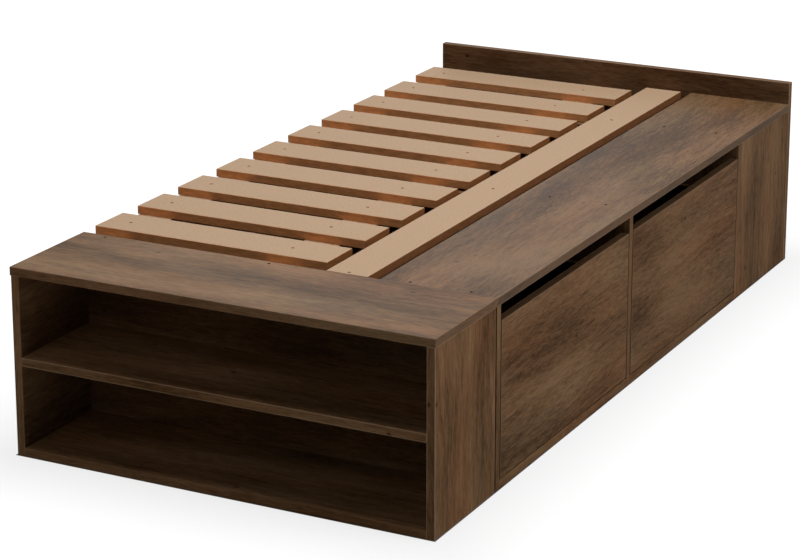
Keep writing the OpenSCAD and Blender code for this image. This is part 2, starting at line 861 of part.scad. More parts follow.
// Cam locks at the front corners, screws at the back corners and screws up through the slides
module drawer_fasteners(i) {
    color(steel) for (side = [-1, 1]) {
        for (place = drawer_cams(i, side)) {
            cam_lock(place, side_t, side_t - cam_skin);
            cam_bolt(place, side_t);
        }
        at_wall(i, side) {
            for (z = back_screw_zs) {
                translate([x_drawer_back + side_t / 2, runner_gap, z]) rotate([90, 0, 0])
                    pan_screw(back_screw_l);
            }
            for (x = slide_screws_x) {
                translate([x, runner_gap + foot_flange / 2, z_side - sheet - pan_head])
                    cylinder(r = 2 * slide_screw_r, h = pan_head, $fn = 40);
                translate([x, runner_gap + foot_flange / 2, z_side - sheet - pan_head])
                    cylinder(r = slide_screw_r, h = pan_head + slide_screw_l, $fn = 40);
            }
        }
    }
}

// ---------------------------------------------------------------- nodes

foot_top();
foot_side(-1);  // foot_left_side
foot_side(1);  // foot_right_side
foot_shelf();
foot_bottom();
foot_back();
headboard();
left_side_panel();
centre_panel();
slat_rails();
partition(0);  // partition_foot
partition(1);  // partition_middle
partition(2);  // partition_head
base_rail(0);  // base_rail_foot
base_rail(1);  // base_rail_head
head_side_panel();
ledge();
long_slat();
cross_slat(0);  // cross_slat_01
cross_slat(1);  // cross_slat_02
cross_slat(2);  // cross_slat_03
cross_slat(3);  // cross_slat_04
cross_slat(4);  // cross_slat_05
cross_slat(5);  // cross_slat_06
cross_slat(6);  // cross_slat_07
cross_slat(7);  // cross_slat_08
cross_slat(8);  // cross_slat_09
cross_slat(9);  // cross_slat_10
deck_screws();
support_screws();
pan_screws();
joining_screws();
rail_brackets();
cam_locks();
cam_bolts();
dowels();
fixed_runner(0, -1);  // runner_foot_left
fixed_runner(0, 1);  // runner_foot_right
fixed_runner(1, -1);  // runner_head_left
fixed_runner(1, 1);  // runner_head_right
drawer_front(0);  // foot_drawer_front
drawer_side(0, -1);  // foot_drawer_left_side
drawer_side(0, 1);  // foot_drawer_right_side
drawer_back(0);  // foot_drawer_back
drawer_bottom(0);  // foot_drawer_bottom
slide(0, -1);  // foot_drawer_left_slide
slide(0, 1);  // foot_drawer_right_slide
drawer_fasteners(0);  // foot_drawer_fasteners
drawer_front(1);  // head_drawer_front
drawer_side(1, -1);  // head_drawer_left_side
drawer_side(1, 1);  // head_drawer_right_side
drawer_back(1);  // head_drawer_back
drawer_bottom(1);  // head_drawer_bottom
slide(1, -1);  // head_drawer_left_slide
slide(1, 1);  // head_drawer_right_slide
drawer_fasteners(1);  // head_drawer_fasteners
rollers(0, x_front_roller);  // foot_fixed_rollers
rollers(1, x_front_roller);  // head_fixed_rollers
rollers(0, x_rear_roller);  // foot_moving_rollers
rollers(1, x_rear_roller);  // head_moving_rollers
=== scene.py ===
"""Single platform bed with a foot bookcase and two side drawers: its finishes and a plain stage."""

import math

import bpy
from bpy.props import FloatProperty, FloatVectorProperty, PointerProperty
from mathutils import Matrix, Vector


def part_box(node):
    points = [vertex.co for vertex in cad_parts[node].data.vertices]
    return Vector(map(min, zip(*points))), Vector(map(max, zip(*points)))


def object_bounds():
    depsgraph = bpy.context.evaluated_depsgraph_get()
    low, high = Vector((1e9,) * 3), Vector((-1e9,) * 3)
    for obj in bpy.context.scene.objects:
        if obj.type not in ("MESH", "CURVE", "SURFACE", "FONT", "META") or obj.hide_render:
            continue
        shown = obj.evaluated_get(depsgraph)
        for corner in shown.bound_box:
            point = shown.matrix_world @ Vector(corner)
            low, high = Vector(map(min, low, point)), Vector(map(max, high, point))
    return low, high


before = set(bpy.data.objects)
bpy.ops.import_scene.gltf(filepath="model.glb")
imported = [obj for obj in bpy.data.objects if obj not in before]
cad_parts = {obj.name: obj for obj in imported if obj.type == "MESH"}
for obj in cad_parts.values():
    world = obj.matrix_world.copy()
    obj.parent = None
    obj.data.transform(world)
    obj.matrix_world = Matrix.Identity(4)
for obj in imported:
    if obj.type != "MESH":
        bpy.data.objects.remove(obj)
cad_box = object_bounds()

bl_info = {
    "name": "Platform bed finishes",
    "version": (1, 0, 0),
    "blender": (4, 5, 0),
    "location": "3D View > Sidebar > Bed",
    "description": "Finishes the boards, fittings and runners of a platform bed and sets a plain stage",
    "category": "Object",
}

# ------------------------------------------------------------------ values: sizes are in metres

BLACK, WHITE = (0, 0, 0, 1), (1, 1, 1, 1)
NO_TINT = "#ffffff"
AXES = {"x": 0, "y": 1, "z": 2}
# A face looks along an axis where its normal's part on that axis is more than this.
FACING = 0.7

# Patterns of the oak print: length along the grain, width across it, detail, roughness and layer
SWAY = (0.40, 0.12, 1.0, 0.5, 3.1)
CLOUDS = (0.42, 0.110, 2.0, 0.5, 7.7)
GRAINS = (0.130, 0.014, 4.0, 0.80, 5.2)
# The finest flecks and pores of the print are under 1 mm wide: they are drawn 2.5 and 3 mm wide to show.
FLECKS = (0.0220, 0.0025, 1.0, 0.7, 9.4)
PORES = (0.050, 0.0030, 1.0, 0.5, 2.6)
PORE_GROUPS = (0.120, 0.040, 1.0, 0.5, 12.3)
HUES = (0.480, 0.110, 1.0, 0.5, 15.8)

SWAY_DEPTH = 0.030
CLOUD_SHARE, GRAIN_SHARE, FLECK_SHARE = 1.00, 0.80, 0.62
SHEET_CONTRAST, BAND_CONTRAST = 0.72, 0.6
# Where on the scale of tones the dark, middle and light oak stand
TONE_PLACES = (0.27, 0.5, 0.73)
HUE_STOPS = ((0.30, (1.06, 0.990, 0.955, 1)), (0.70, (0.94, 1.012, 1.045, 1)))
PORE_STOPS = ((0.60, BLACK), (0.70, WHITE))
GROUP_STOPS = ((0.42, BLACK), (0.60, WHITE))
PORE_INK, PORE_DEPTH = "#3b281a", 0.50
# A knot is dark within the first share of its cell, and gone at the second.
KNOT_STOPS = ((0.006, WHITE), (0.015, BLACK))
KNOT_INK, KNOT_DEPTH = "#2a1b12", 0.8
KNOT_SPACING = (0.46, 0.34)
# Colour and width of the painted highlight along the edge bands' corners
HIGHLIGHT_COLOUR, HIGHLIGHT_WIDTH = "#a58b73", 0.0020
BARE_CHIPS = "#b08e6c"
# How much light a surface mirrors at its IOR, where 0.5 is usual
DECK_GLOSS, UPRIGHT_GLOSS, FIBRE_GLOSS = 0.05, 0.01, 0.10
MELAMINE_IOR, FIBRE_IOR = 1.5, 1.45
PRINT_ROUGHNESS, GRAIN_ROUGHNESS = 0.46, 0.16
EMBOSSING, EMBOSSED_DEPTH = 0.35, 0.0001

# Patterns of the bare fibre board, as above
FIBRE_CLOUDS = (0.12, 0.05, 2.0, 0.5, 4.0)
# The speck is the fibre itself, about 0.3 mm: it is drawn 5 mm wide to show.
FIBRE_SPECK = (0.0060, 0.0050, 2.0, 1.0, 8.0)
SAW_MARKS = (0.030, 0.009, 3.0, 0.7, 6.0)
# A face's shade is its level, with its clouds and speck added and the last number taken off.
FACE_LEVEL, CLOUD_SHADE, SPECK_SHADE, SPECK_MIDDLE = 0.84, 0.04, 0.55, 0.135
# A sawn edge's shade is its level, with its saw marks added.
SAWN_LEVEL, SAWN_SHADE = 0.45, 1.1
FIBRE_ROUGHNESS, FIBRE_RELIEF, FIBRE_DEPTH = 0.72, 0.3, 0.0002
# Where on these patterns each board is cut: a step from slat to slat, and single places
SLAT_STEP = (2.7, 1.9)
LONG_BOARD_CUTS = {"long_slat": (40.0, 7.0), "slat_rails": (43.1, 7.0)}
BOTTOM_CUT, DOWEL_CUT = (70.0, 5.0), (80.0, 1.0)

# A fitting's grit: its detail, how dark its specks are, where they start and end, and how its
# roughness follows them
GRIT_DETAIL, GRIT_DARKNESS, GRIT_PLACES, GRIT_GLOSS = 3.0, 0.82, (0.3, 0.7), 0.2

# How each board is cut from the print: the axis of its grain, and its place on the print. Where they
# aren't the usual: the tint shades its broad faces, as painted shade on the headboard and the drawer
# boxes; the band colour darkens its edge bands as painted shade; the highlight value is how strongly a
# painted highlight pales the bands' corners; contrast is its sheet's own, and a raw top has no band.
BOOKCASE = {
    "foot_top": dict(
        grain="x", shift=(0.0, 0.0), band="#f0f0ee", gloss=DECK_GLOSS, painted_highlight=0.12, contrast=0.92
    ),
    "foot_left_side": dict(grain="y", shift=(3.1, 0.4), painted_highlight=0.15),
    "foot_right_side": dict(grain="z", shift=(5.3, 1.7), painted_highlight=0.50),
    "foot_shelf": dict(grain="x", shift=(7.9, 2.3), painted_highlight=0.45),
    "foot_bottom": dict(grain="x", shift=(11.2, 3.5)),
    "foot_back": dict(grain="x", shift=(13.4, 4.6)),
}
CHEST = {
    # The headboard's broad faces are darkened: painted shade.
    "headboard": dict(grain="x", shift=(17.8, 5.9), tint_and_shade="#d9d4d5", painted_highlight=0.50),
    "left_side_panel": dict(grain="y", shift=(83.7, 21.4), raw_top=True),
    "centre_panel": dict(grain="y", shift=(89.3, 22.2), raw_top=True),
    "partition_foot": dict(grain="z", shift=(19.1, 6.2)),
    "partition_middle": dict(grain="z", shift=(23.5, 7.4)),
    "partition_head": dict(grain="z", shift=(29.6, 8.8)),
    "base_rail_foot": dict(grain="y", shift=(31.3, 9.1)),
    "base_rail_head": dict(grain="y", shift=(37.7, 10.3)),
    "head_side_panel": dict(grain="z", shift=(41.9, 11.5)),
    "ledge": dict(
        grain="y",
        shift=(43.2, 12.9),
        tint_and_shade="#e9e9e9",
        band="#c6c6c2",
        gloss=DECK_GLOSS,
        painted_highlight=0.25,
        contrast=1.10,
    ),
}
# Both fronts' edge bands are darkened as painted shade, for the finger gap under the ledge, and their
# sheet is livelier. Their boxes are darkened all over: painted shade for their insides, which lie in
# shadow behind the finger gaps.
FRONT = dict(grain="y", band="#a6a6a6", painted_highlight=0.25, contrast=0.85)
BOX_PAINTED_SHADE = "#5a544e"
DRAWERS = {
    "foot_drawer_front": dict(FRONT, shift=(47.1, 13.3), tint_and_shade="#f4f4f5"),
    "foot_drawer_left_side": dict(grain="x", shift=(53.6, 14.8), tint_and_shade=BOX_PAINTED_SHADE),
    "foot_drawer_right_side": dict(grain="x", shift=(59.2, 15.6), tint_and_shade=BOX_PAINTED_SHADE),
    "foot_drawer_back": dict(grain="y", shift=(61.7, 16.4), tint_and_shade=BOX_PAINTED_SHADE),
    "head_drawer_front": dict(FRONT, shift=(67.3, 17.2), tint_and_shade="#ececed"),
    "head_drawer_left_side": dict(grain="x", shift=(71.8, 18.9), tint_and_shade=BOX_PAINTED_SHADE),
    "head_drawer_right_side": dict(grain="x", shift=(73.5, 19.7), tint_and_shade=BOX_PAINTED_SHADE),
    "head_drawer_back": dict(grain="y", shift=(79.9, 20.1), tint_and_shade=BOX_PAINTED_SHADE),
}
CROSS_SLATS = ["cross_slat_%02d" % i for i in range(1, 11)]

# The floor's paleness for the light that bounces off it, and for the shadow that is seen on it
FLOOR_BOUNCE, FLOOR_SHADE = 0.60, 0.14
# The floor's own white beside the bed, dimmed there as a painted shadow, and how far out it becomes full
# white
GLOW_NEAR, GLOW_REACH = 0.80, 0.40
FLOOR_DROP = 0.0005
# Name, place, target, width and power in watts of each lamp
LAMPS = (
    ("top_softbox", (0.0, 0.0, 5.0), (0.0, 0.0, 0.2), 3.0, 134.0),
    ("right_softbox", (4.0, 0.0, 3.5), (0.0, 0.0, 0.2), 2.5, 131.0),
    ("front_fill", (0.0, -5.0, 3.5), (0.0, 0.0, 0.2), 2.5, 45.0),
    ("back_softbox", (-3.0, 5.5, 1.8), (0.0, 0.0, 0.3), 2.5, 60.0),
)
CAMERA_PLACE = (2.55005, -5.15688, 2.04571)
# In radians: how far the camera stands round from the bed's foot, how far it looks down, and its roll
CAMERA_TURN, CAMERA_LIFT, CAMERA_ROLL = 0.47623, 0.26853, -0.00052
# In widths of the picture
LENS_SHIFT = (0.00357, -0.16286)
# In millimetres
SENSOR_WIDTH = 36.0
SIGHT_REACH = 200.0


# ------------------------------------------------------------------ colours and nodes


def linear(code):
    """Turn an sRGB hex colour into linear red, green, blue and alpha."""
    parts = [int(code[i : i + 2], 16) / 255 for i in (1, 3, 5)]
    return [c / 12.92 if c <= 0.04045 else ((c + 0.055) / 1.055) ** 2.4 for c in parts] + [1.0]


def add(tree, kind, inputs=(), ramp=(), **settings):
    """Add a shader node with its settings, its input values or links, and the stops of a ramp."""
    made = tree.nodes.new("ShaderNode" + kind)
    for name, value in settings.items():
        setattr(made, name, value)
    for name, value in dict(inputs).items():
        if isinstance(value, bpy.types.NodeSocket):
            tree.links.new(value, made.inputs[name])
        else:
            made.inputs[name].default_value = value
    for i, (place, colour) in enumerate(ramp):
        stops = made.color_ramp.elements
        stop = stops[i] if i < len(stops) else stops.new(place)
        stop.position = place
        stop.color = colour
    return made


def blank(name):
    """An empty material, the tree that its shader and output are in, and the shader."""
    material = bpy.data.materials.new(name)
    material.use_nodes = True
    tree = material.node_tree
    tree.nodes.clear()
    shader = add(tree, "BsdfPrincipled")
    add(tree, "OutputMaterial", {"Surface": shader.outputs["BSDF"]})
    return material, tree, shader


def dress(node, material):
    """Give a CAD node one material."""
    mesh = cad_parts[node].data
    mesh.materials.clear()
    mesh.materials.append(material)


# ------------------------------------------------------------------ board materials


def board_axes(node, grain):
    """Grain, width and thickness axes of a board, from the box that it fills."""
    low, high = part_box(node)
    size = high - low
    thick = min(range(3), key=lambda i: size[i])
    along = AXES[grain]
    across = 3 - thick - along
    return along, across, thick


def board_plane(tree, axes, shift):
    """Place on the shaded face along and across its grain, and masks for all edges and for the ends.

    The place in the room and the normal come last. On the two broad faces the grain runs along the
    board. On every edge it runs along the edge, as the print of an edge band does.
    """
    along, across, thick = axes
    spot = add(tree, "TexCoord")
    place = add(tree, "SeparateXYZ", {0: spot.outputs["Object"]})
    normal = add(tree, "SeparateXYZ", {0: spot.outputs["Normal"]})

    def facing(axis):
        size = add(tree, "Math", {0: normal.outputs[axis]}, operation="ABSOLUTE").outputs[0]
        return add(tree, "Math", {0: size, 1: FACING}, operation="GREATER_THAN").outputs[0]

    side = facing(across)
    end = facing(along)
    edge = add(tree, "Math", {0: side, 1: end}, operation="MAXIMUM").outputs[0]
    runs = {0: end, 2: place.outputs[along], 3: place.outputs[across]}
    run = add(tree, "Mix", runs, data_type="FLOAT").outputs[0]
    rises = {0: edge, 2: place.outputs[across], 3: place.outputs[thick]}
    rise = add(tree, "Mix", rises, data_type="FLOAT").outputs[0]
    u = add(tree, "Math", {0: run, 1: shift[0]}, operation="ADD").outputs[0]
    v = add(tree, "Math", {0: rise, 1: shift[1]}, operation="ADD").outputs[0]
    return u, v, edge, end, place, normal


def near_edge(tree, node, place, width):
    """Mask that is 1 along every edge of the box that a board fills, and 0 past a width from it."""
    low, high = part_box(node)
    depths = []
    for i in range(3):
        middle, half = (low[i] + high[i]) / 2, (high[i] - low[i]) / 2
        off = add(tree, "Math", {0: place.outputs[i], 1: middle}, operation="SUBTRACT").outputs[0]
        off = add(tree, "Math", {0: off}, operation="ABSOLUTE").outputs[0]
        depths.append(add(tree, "Math", {0: half, 1: off}, operation="SUBTRACT").outputs[0])
    # On a face the least of the three depths is 0, so the second least says how near an edge is.
    least = add(tree, "Math", {0: depths[0], 1: depths[1]}, operation="MINIMUM").outputs[0]
    most = add(tree, "Math", {0: depths[0], 1: depths[1]}, operation="MAXIMUM").outputs[0]
    most = add(tree, "Math", {0: most, 1: depths[2]}, operation="MINIMUM").outputs[0]
    second = add(tree, "Math", {0: least, 1: most}, operation="MAXIMUM").outputs[0]
    return add(tree, "MapRange", {0: second, 1: width / 2, 2: width, 3: 1.0, 4: 0.0}).outputs[0]


def stretched(tree, u, v, length, width, detail, rough, layer):
    """Noise whose features are about length by width, along and across the grain."""
    x = add(tree, "Math", {0: u, 1: 1 / length}, operation="MULTIPLY").outputs[0]
    y = add(tree, "Math", {0: v, 1: 1 / width}, operation="MULTIPLY").outputs[0]
    spot = add(tree, "CombineXYZ", {0: x, 1: y, 2: layer}).outputs[0]
    noise = {"Vector": spot, "Scale": 1.0, "Detail": detail, "Roughness": rough}
    return add(tree, "TexNoise", noise).outputs["Fac"]


def print_tone(tree, clouds, grains, flecks, edge, contrast):
    """Lightness of the print: its clouds, grain and flecks, summed about the middle tone."""
    tone = 0.5 - 0.5 * (CLOUD_SHARE + GRAIN_SHARE + FLECK_SHARE)
    for layer, share in ((clouds, CLOUD_SHARE), (grains, GRAIN_SHARE), (flecks, FLECK_SHARE)):
        tone = add(tree, "Math", {0: layer, 1: share, 2: tone}, operation="MULTIPLY_ADD").outputs[0]
    # Sheets of the print differ in contrast. An edge band, a narrow strip of it, is more even.
    tones = []
    for spread in (contrast, BAND_CONTRAST):
        drawn_in = {0: tone, 1: spread, 2: 0.5 - 0.5 * spread}
        tones.append(add(tree, "Math", drawn_in, operation="MULTIPLY_ADD").outputs[0])
    return add(tree, "Mix", {0: edge, 2: tones[0], 3: tones[1]}, data_type="FLOAT").outputs[0]


def pore_ink(tree, u, v):
    """Strength of the dark pore dashes, which gather in groups."""
    pores = add(tree, "ValToRGB", {0: stretched(tree, u, v, *PORES)}, PORE_STOPS).outputs[0]
    groups = add(tree, "ValToRGB", {0: stretched(tree, u, v, *PORE_GROUPS)}, GROUP_STOPS).outputs[0]
    ink = add(tree, "Math", {0: pores, 1: groups}, operation="MULTIPLY").outputs[0]
    return add(tree, "Math", {0: ink, 1: PORE_DEPTH}, operation="MULTIPLY").outputs[0]


def knot_ink(tree, u, v):
    """Strength of the small dark knots, one in each cell of the print."""
    x = add(tree, "Math", {0: u, 1: 1 / KNOT_SPACING[0]}, operation="MULTIPLY").outputs[0]
    y = add(tree, "Math", {0: v, 1: 1 / KNOT_SPACING[1]}, operation="MULTIPLY").outputs[0]
    cell = add(tree, "CombineXYZ", {0: x, 1: y}).outputs[0]
    spot = {"Vector": cell, "Scale": 1.0}
    knots = add(tree, "TexVoronoi", spot, feature="F1", voronoi_dimensions="2D")
    core = add(tree, "ValToRGB", {0: knots.outputs["Distance"]}, KNOT_STOPS).outputs[0]
    return add(tree, "Math", {0: core, 1: KNOT_DEPTH}, operation="MULTIPLY").outputs[0]


def oak_melamine(
    node,
    oak,
    grain,
    shift,
    tint_and_shade=NO_TINT,
    band=NO_TINT,
    gloss=UPRIGHT_GLOSS,
    painted_highlight=0.0,
    contrast=SHEET_CONTRAST,
    raw_top=False,
):
    """Weathered-oak paper, printed and pressed on particle board, with edge bands of the same print."""
    # Pressed melamine is a dry, matt, slightly embossed skin: the print shows clouds, grain and pores,
    # and only a little of the room is mirrored in it, most at a low angle.
    material, tree, shader = blank("oak_melamine_" + node)
    u, v, edge, end, place, normal = board_plane(tree, board_axes(node, grain), shift)
    # The grain wanders a little across the board.
    sway = stretched(tree, u, v, *SWAY)
    v = add(tree, "Math", {0: sway, 1: SWAY_DEPTH, 2: v}, operation="MULTIPLY_ADD").outputs[0]
    clouds = stretched(tree, u, v, *CLOUDS)
    grains = stretched(tree, u, v, *GRAINS)
    flecks = stretched(tree, u, v, *FLECKS)
    tone = print_tone(tree, clouds, grains, flecks, edge, contrast)
    colour = add(tree, "ValToRGB", {0: tone}, tuple(zip(TONE_PLACES, oak))).outputs[0]
    hue = add(tree, "ValToRGB", {0: stretched(tree, u, v, *HUES)}, HUE_STOPS).outputs[0]
    colour = add(tree, "VectorMath", {0: colour, 1: hue}, operation="MULTIPLY").outputs[0]
    pores = pore_ink(tree, u, v)
    inked = {0: pores, 6: colour, 7: linear(PORE_INK)}
    colour = add(tree, "Mix", inked, data_type="RGBA").outputs[2]
    knotted = {0: knot_ink(tree, u, v), 6: colour, 7: linear(KNOT_INK)}
    colour = add(tree, "Mix", knotted, data_type="RGBA").outputs[2]
    # The edge bands' colour is painted shade, and so is the tint on the headboard and the drawer boxes.
    shade = add(tree, "Mix", {0: edge, 6: linear(tint_and_shade), 7: linear(band)}, data_type="RGBA").outputs[2]
    colour = add(tree, "VectorMath", {0: colour, 1: shade}, operation="MULTIPLY").outputs[0]
    # A painted highlight pales the corners of the edge bands, where they would catch the light: the line
    # is drawn 2 mm wide to show.
    highlight_mask = near_edge(tree, node, place, HIGHLIGHT_WIDTH)
    highlight_mask = add(tree, "Math", {0: highlight_mask, 1: painted_highlight}, operation="MULTIPLY").outputs[0]
    highlighted = {0: highlight_mask, 6: colour, 7: linear(HIGHLIGHT_COLOUR)}
    colour = add(tree, "Mix", highlighted, data_type="RGBA").outputs[2]
    if raw_top:
        # The panels' upper edges have no band: the pale particle board shows.
        up = add(tree, "Math", {0: normal.outputs[2], 1: FACING}, operation="GREATER_THAN").outputs[0]
        colour = add(tree, "Mix", {0: up, 6: colour, 7: linear(BARE_CHIPS)}, data_type="RGBA").outputs[2]
    tree.links.new(colour, shader.inputs["Base Color"])
    uneven = {0: grains, 1: GRAIN_ROUGHNESS, 2: PRINT_ROUGHNESS}
    rough = add(tree, "Math", uneven, operation="MULTIPLY_ADD").outputs[0]
    tree.links.new(rough, shader.inputs["Roughness"])
    # The pores are pressed in, and the flecks stand a little proud.
    height = add(tree, "Math", {0: pores, 1: -1.0, 2: flecks}, operation="MULTIPLY_ADD").outputs[0]
    bump = add(tree, "Bump", {"Height": height, "Strength": EMBOSSING, "Distance": EMBOSSED_DEPTH})
    tree.links.new(bump.outputs[0], shader.inputs["Normal"])
    shader.inputs["IOR"].default_value = MELAMINE_IOR
    shader.inputs["Specular IOR Level"].default_value = gloss
    return material


def raw_board(name, node, grain, shift, face, sawn, ends):
    """Bare sanded board of pressed fibre or wood, whose faces, sawn edges and ends differ in colour."""
    # Sanded board is matt and nearly even, with a fine speck. A saw leaves its edges uneven in tone.
    material, tree, shader = blank(name)
    u, v, edge, end = board_plane(tree, board_axes(node, grain), shift)[:4]
    clouds = stretched(tree, u, v, *FIBRE_CLOUDS)
    speck = stretched(tree, u, v, *FIBRE_SPECK)
    marks = stretched(tree, u, v, *SAW_MARKS)
    shade = {0: clouds, 1: CLOUD_SHADE, 2: FACE_LEVEL}
    shade = add(tree, "Math", shade, operation="MULTIPLY_ADD").outputs[0]
    shade = add(tree, "Math", {0: speck, 1: SPECK_SHADE, 2: shade}, operation="MULTIPLY_ADD").outputs[0]
    shade = add(tree, "Math", {0: shade, 1: SPECK_MIDDLE}, operation="SUBTRACT").outputs[0]
    sawing = {0: marks, 1: SAWN_SHADE, 2: SAWN_LEVEL}
    sawing = add(tree, "Math", sawing, operation="MULTIPLY_ADD").outputs[0]
    shade = add(tree, "Mix", {0: edge, 2: shade, 3: sawing}, data_type="FLOAT").outputs[0]
    grey = add(tree, "CombineXYZ", {0: shade, 1: shade, 2: shade}).outputs[0]
    colour = add(tree, "Mix", {0: edge, 6: face, 7: sawn}, data_type="RGBA").outputs[2]
    # The ends take their own colour, which on the slats is darkened as painted shade.
    colour = add(tree, "Mix", {0: end, 6: colour, 7: ends}, data_type="RGBA").outputs[2]
    colour = add(tree, "VectorMath", {0: colour, 1: grey}, operation="MULTIPLY").outputs[0]
    tree.links.new(colour, shader.inputs["Base Color"])
    bump = add(tree, "Bump", {"Height": speck, "Strength": FIBRE_RELIEF, "Distance": FIBRE_DEPTH})
    tree.links.new(bump.outputs[0], shader.inputs["Normal"])
    shader.inputs["Roughness"].default_value = FIBRE_ROUGHNESS
    shader.inputs["IOR"].default_value = FIBRE_IOR
    shader.inputs["Specular IOR Level"].default_value = FIBRE_GLOSS
    return material


# ------------------------------------------------------------------ fittings' materials


def gritty(tree, shader, colour, rough, grit, metallic):
    """Give a shader a fine grit in its gloss, and hand on the colour with that grit in its tone."""
    spot = add(tree, "TexCoord").outputs["Object"]
    noise = {"Vector": spot, "Scale": 1 / grit, "Detail": GRIT_DETAIL}
    speck = add(tree, "TexNoise", noise).outputs["Fac"]
    dark = [c * GRIT_DARKNESS for c in linear(colour)[:3]] + [1]
    tone = add(tree, "ValToRGB", {0: speck}, tuple(zip(GRIT_PLACES, (dark, linear(colour))))).outputs[0]
    gloss = {0: speck, 1: GRIT_GLOSS, 2: rough - GRIT_GLOSS / 2}
    gloss = add(tree, "Math", gloss, operation="MULTIPLY_ADD").outputs[0]
    tree.links.new(gloss, shader.inputs["Roughness"])
    shader.inputs["Metallic"].default_value = metallic
    return tone


def fitting(name, colour, rough, grit, metallic=1.0):
    """Metal, or a coat or plastic where it isn't metallic, with a fine grit in its tone and gloss."""
    material, tree, shader = blank(name)
    tone = gritty(tree, shader, colour, rough, grit, metallic)
    tree.links.new(tone, shader.inputs["Base Color"])
    return material


def screw_steel():
    """Countersunk screws: black phosphated in the dark boards, yellow zinc plated in the bare slats."""
    # Phosphate is a dull near-black coat. Yellow zinc is a dull brown once its screw has been driven.
    material, tree, shader = blank("driven_screw_steel")
    black = gritty(tree, shader, "#2b2420", rough=0.55, grit=0.0006, metallic=0.6)
    ledge_left, top_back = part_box("ledge")[0][0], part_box("foot_top")[1][1]
    place = add(tree, "SeparateXYZ", {0: add(tree, "TexCoord").outputs["Object"]})
    left = add(tree, "Math", {0: place.outputs[0], 1: ledge_left}, operation="LESS_THAN").outputs[0]
    past = add(tree, "Math", {0: place.outputs[1], 1: top_back}, operation="GREATER_THAN").outputs[0]
    in_slat = add(tree, "Math", {0: left, 1: past}, operation="MULTIPLY").outputs[0]
    colour = add(tree, "Mix", {0: in_slat, 6: black, 7: linear("#8f6b4a")}, data_type="RGBA").outputs[2]
    tree.links.new(colour, shader.inputs["Base Color"])
    return material


# ------------------------------------------------------------------ settings


def colour_property(name, description, code):
    """A colour that a user can change, with its default in sRGB hex."""
    return FloatVectorProperty(
        name=name,
        description=description,
        default=linear(code),
        size=4,
        min=0.0,
        max=1.0,
        subtype="COLOR",
    )


class BedSizes(bpy.types.PropertyGroup):
    """Sizes of the studio: its floor and its lens."""

    floor_reach: FloatProperty(
        name="Floor reach",
        description="How far the floor runs from the bed's middle",
        default=30.0,
        unit="LENGTH",
    )
    lens: FloatProperty(
        name="Lens", description="Focal length on a 36 mm wide sensor", default=120.746, unit="CAMERA"
    )


class BedColours(bpy.types.PropertyGroup):
    """Colours of the bed's finishes."""

    oak_dark: colour_property("Oak, dark", "Darkest tone of the oak print", "#46301c")
    oak_mid: colour_property("Oak, middle", "Middle tone of the oak print", "#6d5036")
    oak_light: colour_property("Oak, light", "Lightest tone of the oak print", "#86674a")
    slat_face: colour_property("Slat face", "Bare face of the slats", "#b99b7e")
    slat_edge: colour_property("Slat edge", "Sawn edge of the cross slats", "#c88957")
    # The slats' end colour is darkened as painted shade for the narrow gap beside the long slat.
    slat_end_with_shade: colour_property("Slat end", "Sawn end of the slats", "#86542f")


# ------------------------------------------------------------------ finishes


def dress_boards(context, boards):
    """Cover a group of boards with oak-print melamine."""
    colours = context.scene.bed_colours
    oak = [tuple(tone) for tone in (colours.oak_dark, colours.oak_mid, colours.oak_light)]
    for node, cut in boards.items():
        dress(node, oak_melamine(node, oak, **cut))


class BED_OT_bookcase(bpy.types.Operator):
    """Cover the foot bookcase's boards with oak-print melamine"""

    bl_idname = "bed.bookcase"
    bl_label = "Bookcase"

    def execute(self, context):
        dress_boards(context, BOOKCASE)
        return {"FINISHED"}


class BED_OT_chest(bpy.types.Operator):
    """Cover the headboard, ledge, panels, partitions and base rails with oak-print melamine"""

    bl_idname = "bed.chest"
    bl_label = "Headboard and chest"

    def execute(self, context):
        dress_boards(context, CHEST)
        return {"FINISHED"}


class BED_OT_drawers(bpy.types.Operator):
    """Cover the drawers' fronts and boxes with oak-print melamine, the boxes darkened as painted shade,
    and finish their bottoms
    """

    bl_idname = "bed.drawers"
    bl_label = "Drawers"

    def execute(self, context):
        dress_boards(context, DRAWERS)
        dark = linear("#3c2e24")
        for drawer in ("foot", "head"):
            node = drawer + "_drawer_bottom"
            dress(node, raw_board("dark_hardboard_" + node, node, "y", BOTTOM_CUT, dark, dark, dark))
        return {"FINISHED"}


class BED_OT_slats(bpy.types.Operator):
    """Finish the slats and their rails as bare fibre board, and the dowels as beech"""

    bl_idname = "bed.slats"
    bl_label = "Slats and dowels"

    def execute(self, context):
        colours = context.scene.bed_colours
        face, edge, end = tuple(colours.slat_face), tuple(colours.slat_edge), tuple(colours.slat_end_with_shade)
        for i, node in enumerate(CROSS_SLATS):
            shift = (SLAT_STEP[0] * i, SLAT_STEP[1] * i)
            dress(node, raw_board("fibre_board_" + node, node, "x", shift, face, edge, end))
        # The long slat's and the rails' sawn edges are darker: painted shade for the narrow gaps beside
        # and under them.
        shaded_edge = linear("#7e5131")
        for node, shift in LONG_BOARD_CUTS.items():
            dress(node, raw_board("fibre_board_" + node, node, "y", shift, face, shaded_edge, end))
        beech = linear("#cfae82")
        dress("dowels", raw_board("beech_dowel", "dowels", "z", DOWEL_CUT, beech, beech, beech))
        return {"FINISHED"}


